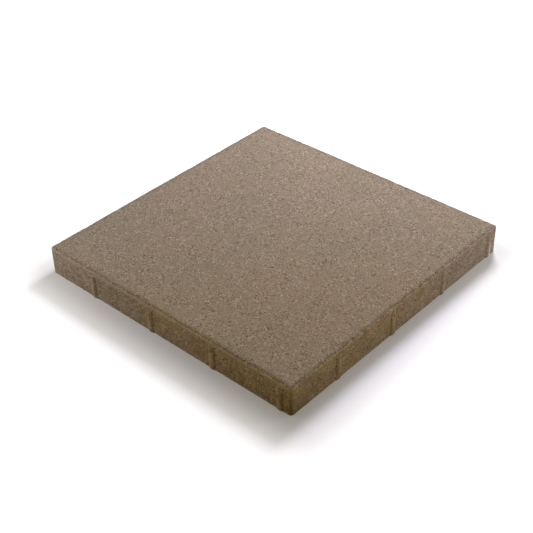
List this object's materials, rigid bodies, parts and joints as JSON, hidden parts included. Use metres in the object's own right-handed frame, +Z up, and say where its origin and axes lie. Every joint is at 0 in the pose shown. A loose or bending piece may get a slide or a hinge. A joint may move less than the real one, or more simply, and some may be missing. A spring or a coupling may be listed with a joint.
{
  "type": "concrete paving slab",
  "caption": "Square concrete paving slab with a fine rough walking face, a bevelled arris and half-round spacer nibs on its sides that keep an even joint to the next slab.",
  "frame": {"origin": "middle of the bedding face, on the ground the slab lies on", "axes": "+Z up through the thickness, from the bedding face to the walking face; X and Y square to the side faces"},
  "size_m": [0.4014, 0.4014, 0.04],
  "materials": {
    "concrete": "matt, fine sandy grain, uncoated"
  },
  "bodies": {
    "root": {"paving_slab": "concrete"}
  },
  "joints": []
}
